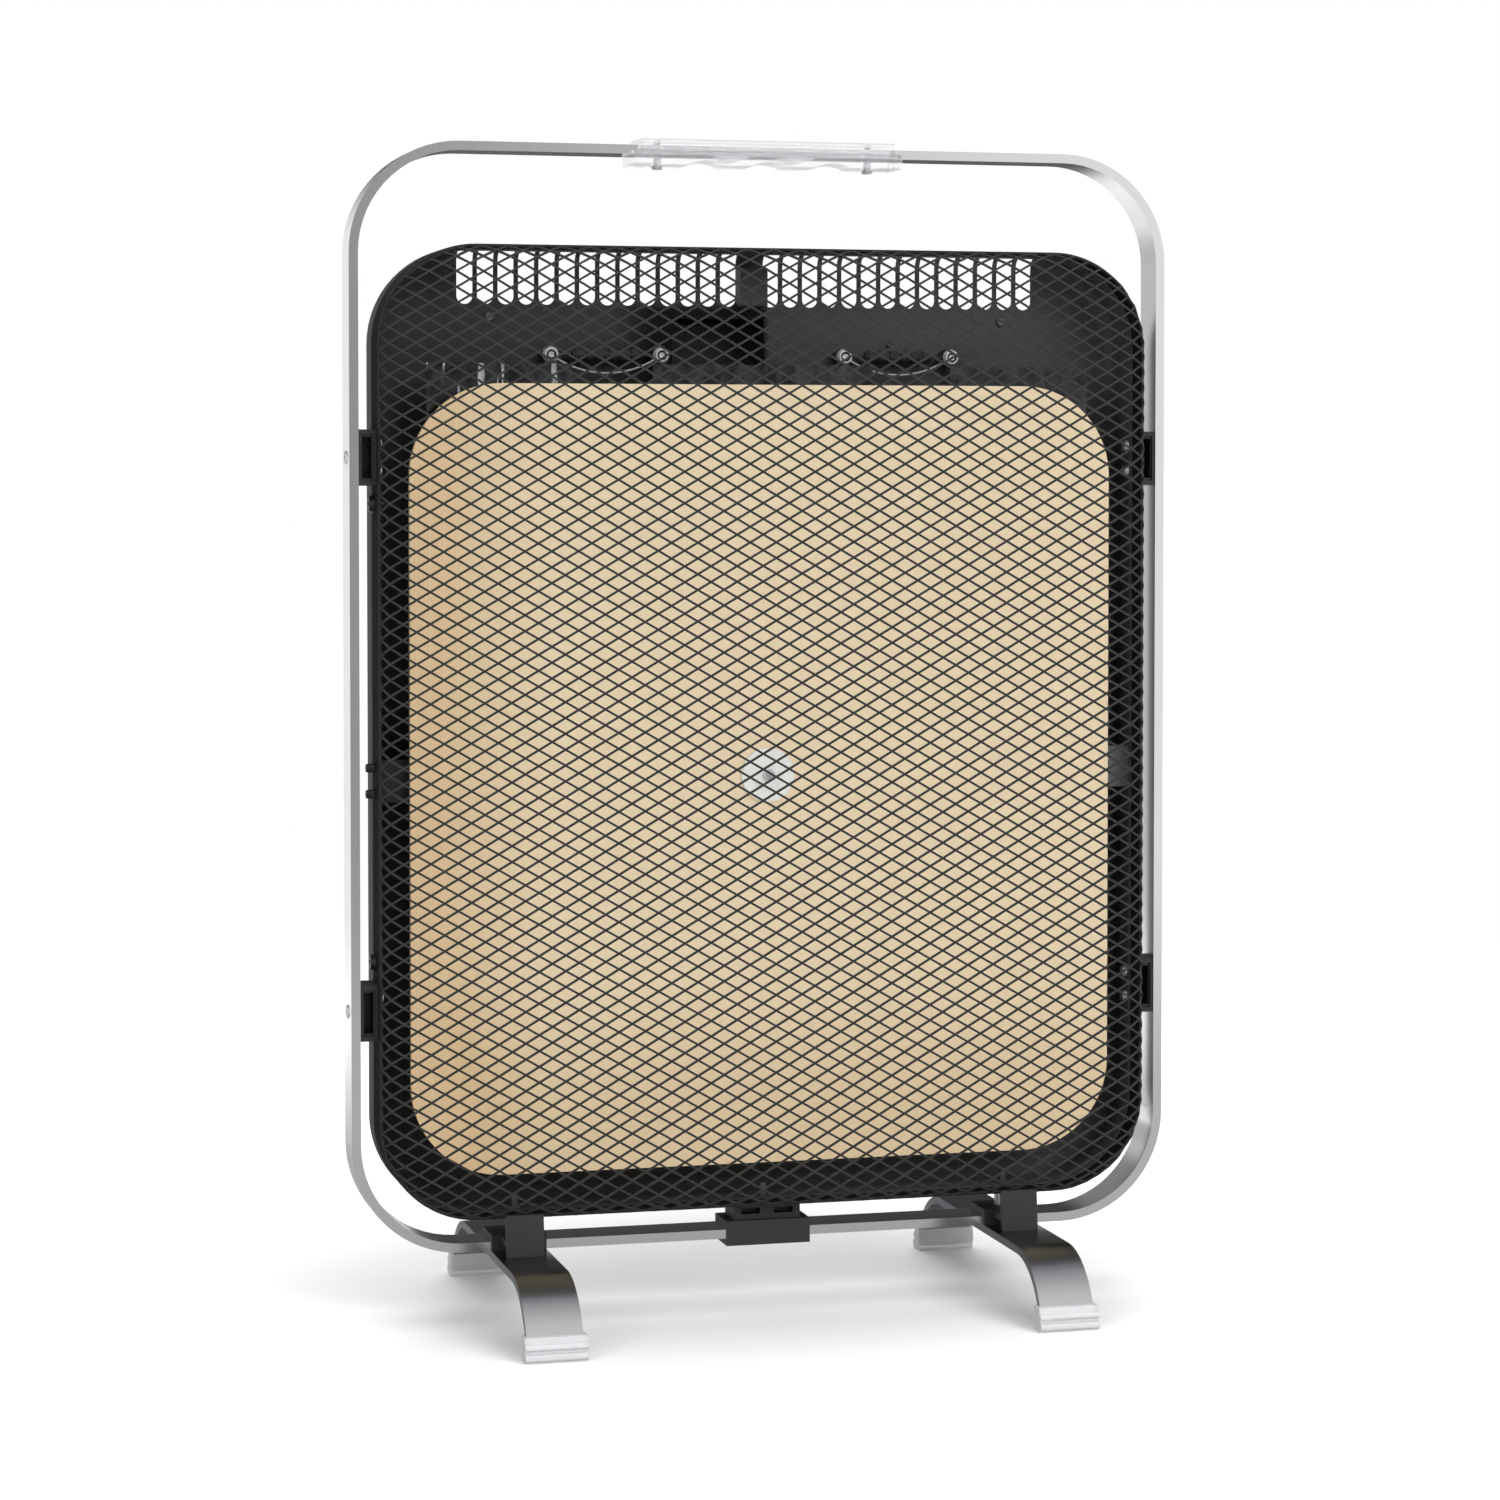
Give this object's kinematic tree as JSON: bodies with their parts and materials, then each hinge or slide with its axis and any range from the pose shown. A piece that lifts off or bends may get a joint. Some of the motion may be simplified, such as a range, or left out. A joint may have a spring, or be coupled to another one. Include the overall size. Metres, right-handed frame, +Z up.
{
  "type": "infrared panel heater",
  "caption": "Upright panel heater with an expanded-metal front over a tan plate, held in a flat-bar loop on arched feet.",
  "frame": {"origin": "middle of the footprint at floor height, under the feet", "axes": "+X to the right seen from the front, +Y to the back, +Z up; the grille faces -Y"},
  "size_m": [0.4616, 0.232, 0.6383],
  "materials": {
    "loop_metal": "smooth light grey satin coat",
    "clear_grip": "clear, slightly milky",
    "clear_caps": "milky, soft shine",
    "black_plastic": "fine grain",
    "gloss_black": "polished",
    "dark_screws": "black coat",
    "bright_screws": "bright plated",
    "grille_black": "black powder coat",
    "shell_grey": "dark grey powder coat",
    "plain_sheet": "mill finish",
    "tan_plate": "dull mineral sheet",
    "ceramic": "unglazed",
    "lead_sleeve": "dull",
    "lamp_red": "clear red"
  },
  "bodies": {
    "heater": {"frame_loop": "loop_metal", "grip_upper": "clear_grip", "grip_lower": "clear_grip", "grip_screws": "dark_screws", "side_bracket_left_high": "black_plastic", "side_bracket_left_low": "black_plastic", "side_bracket_right_high": "black_plastic", "side_bracket_right_low": "black_plastic", "frame_screws": "bright_screws", "bracket_screws": "bright_screws", "centre_clip": "black_plastic", "foot_bracket_left": "black_plastic", "foot_bracket_right": "black_plastic", "foot_spacers": "bright_screws", "upright_bolts": "bright_screws", "foot_strip_left": "loop_metal", "foot_strip_right": "loop_metal", "foot_cap_front_left": "clear_caps", "foot_cap_front_right": "clear_caps", "foot_cap_rear_left": "clear_caps", "foot_cap_rear_right": "clear_caps", "front_grille": "grille_black", "rear_shell": "shell_grey", "shell_screws": "dark_screws", "stiffener": "shell_grey", "shell_rivets": "bright_screws", "crossbar": "plain_sheet", "crossbar_screws": "dark_screws", "reflector": "plain_sheet", "front_plate": "tan_plate", "heating_foil": "plain_sheet", "rear_plate": "tan_plate", "plate_spacer": "ceramic", "centre_washer": "bright_screws", "centre_screw": "bright_screws", "fuse_sleeve_left": "black_plastic", "fuse_sleeve_right": "black_plastic", "fuse_posts": "ceramic", "terminal_screws": "bright_screws", "fuse_wire_left": "bright_screws", "fuse_wire_right": "bright_screws", "element_leads": "lead_sleeve", "control_box": "black_plastic", "box_screws": "dark_screws", "thermostat": "plain_sheet", "switch_low": "gloss_black", "switch_high": "gloss_black", "pilot_lamp": "lamp_red", "tip_switch": "ceramic", "cord_inlet": "black_plastic", "inlet_nut": "black_plastic"},
    "dial": {"dial_knob": "black_plastic", "thermostat_shaft": "bright_screws"},
    "low_rocker": {"rocker_low": "gloss_black"},
    "high_rocker": {"rocker_high": "gloss_black"}
  },
  "joints": [
    {"name": "dial_turn", "type": "hinge", "parent": "heater", "child": "dial", "pos_m": [-0.038, 0.066, 0.495], "axis": [0, 1, 0], "range_deg": [0, 270]},
    {"name": "low_rocker_tilt", "type": "hinge", "parent": "heater", "child": "low_rocker", "pos_m": [0.034, 0.0626, 0.472], "axis": [1, 0, 0], "range_deg": [-8, 8]},
    {"name": "high_rocker_tilt", "type": "hinge", "parent": "heater", "child": "high_rocker", "pos_m": [0.034, 0.0626, 0.506], "axis": [1, 0, 0], "range_deg": [-8, 8]}
  ]
}
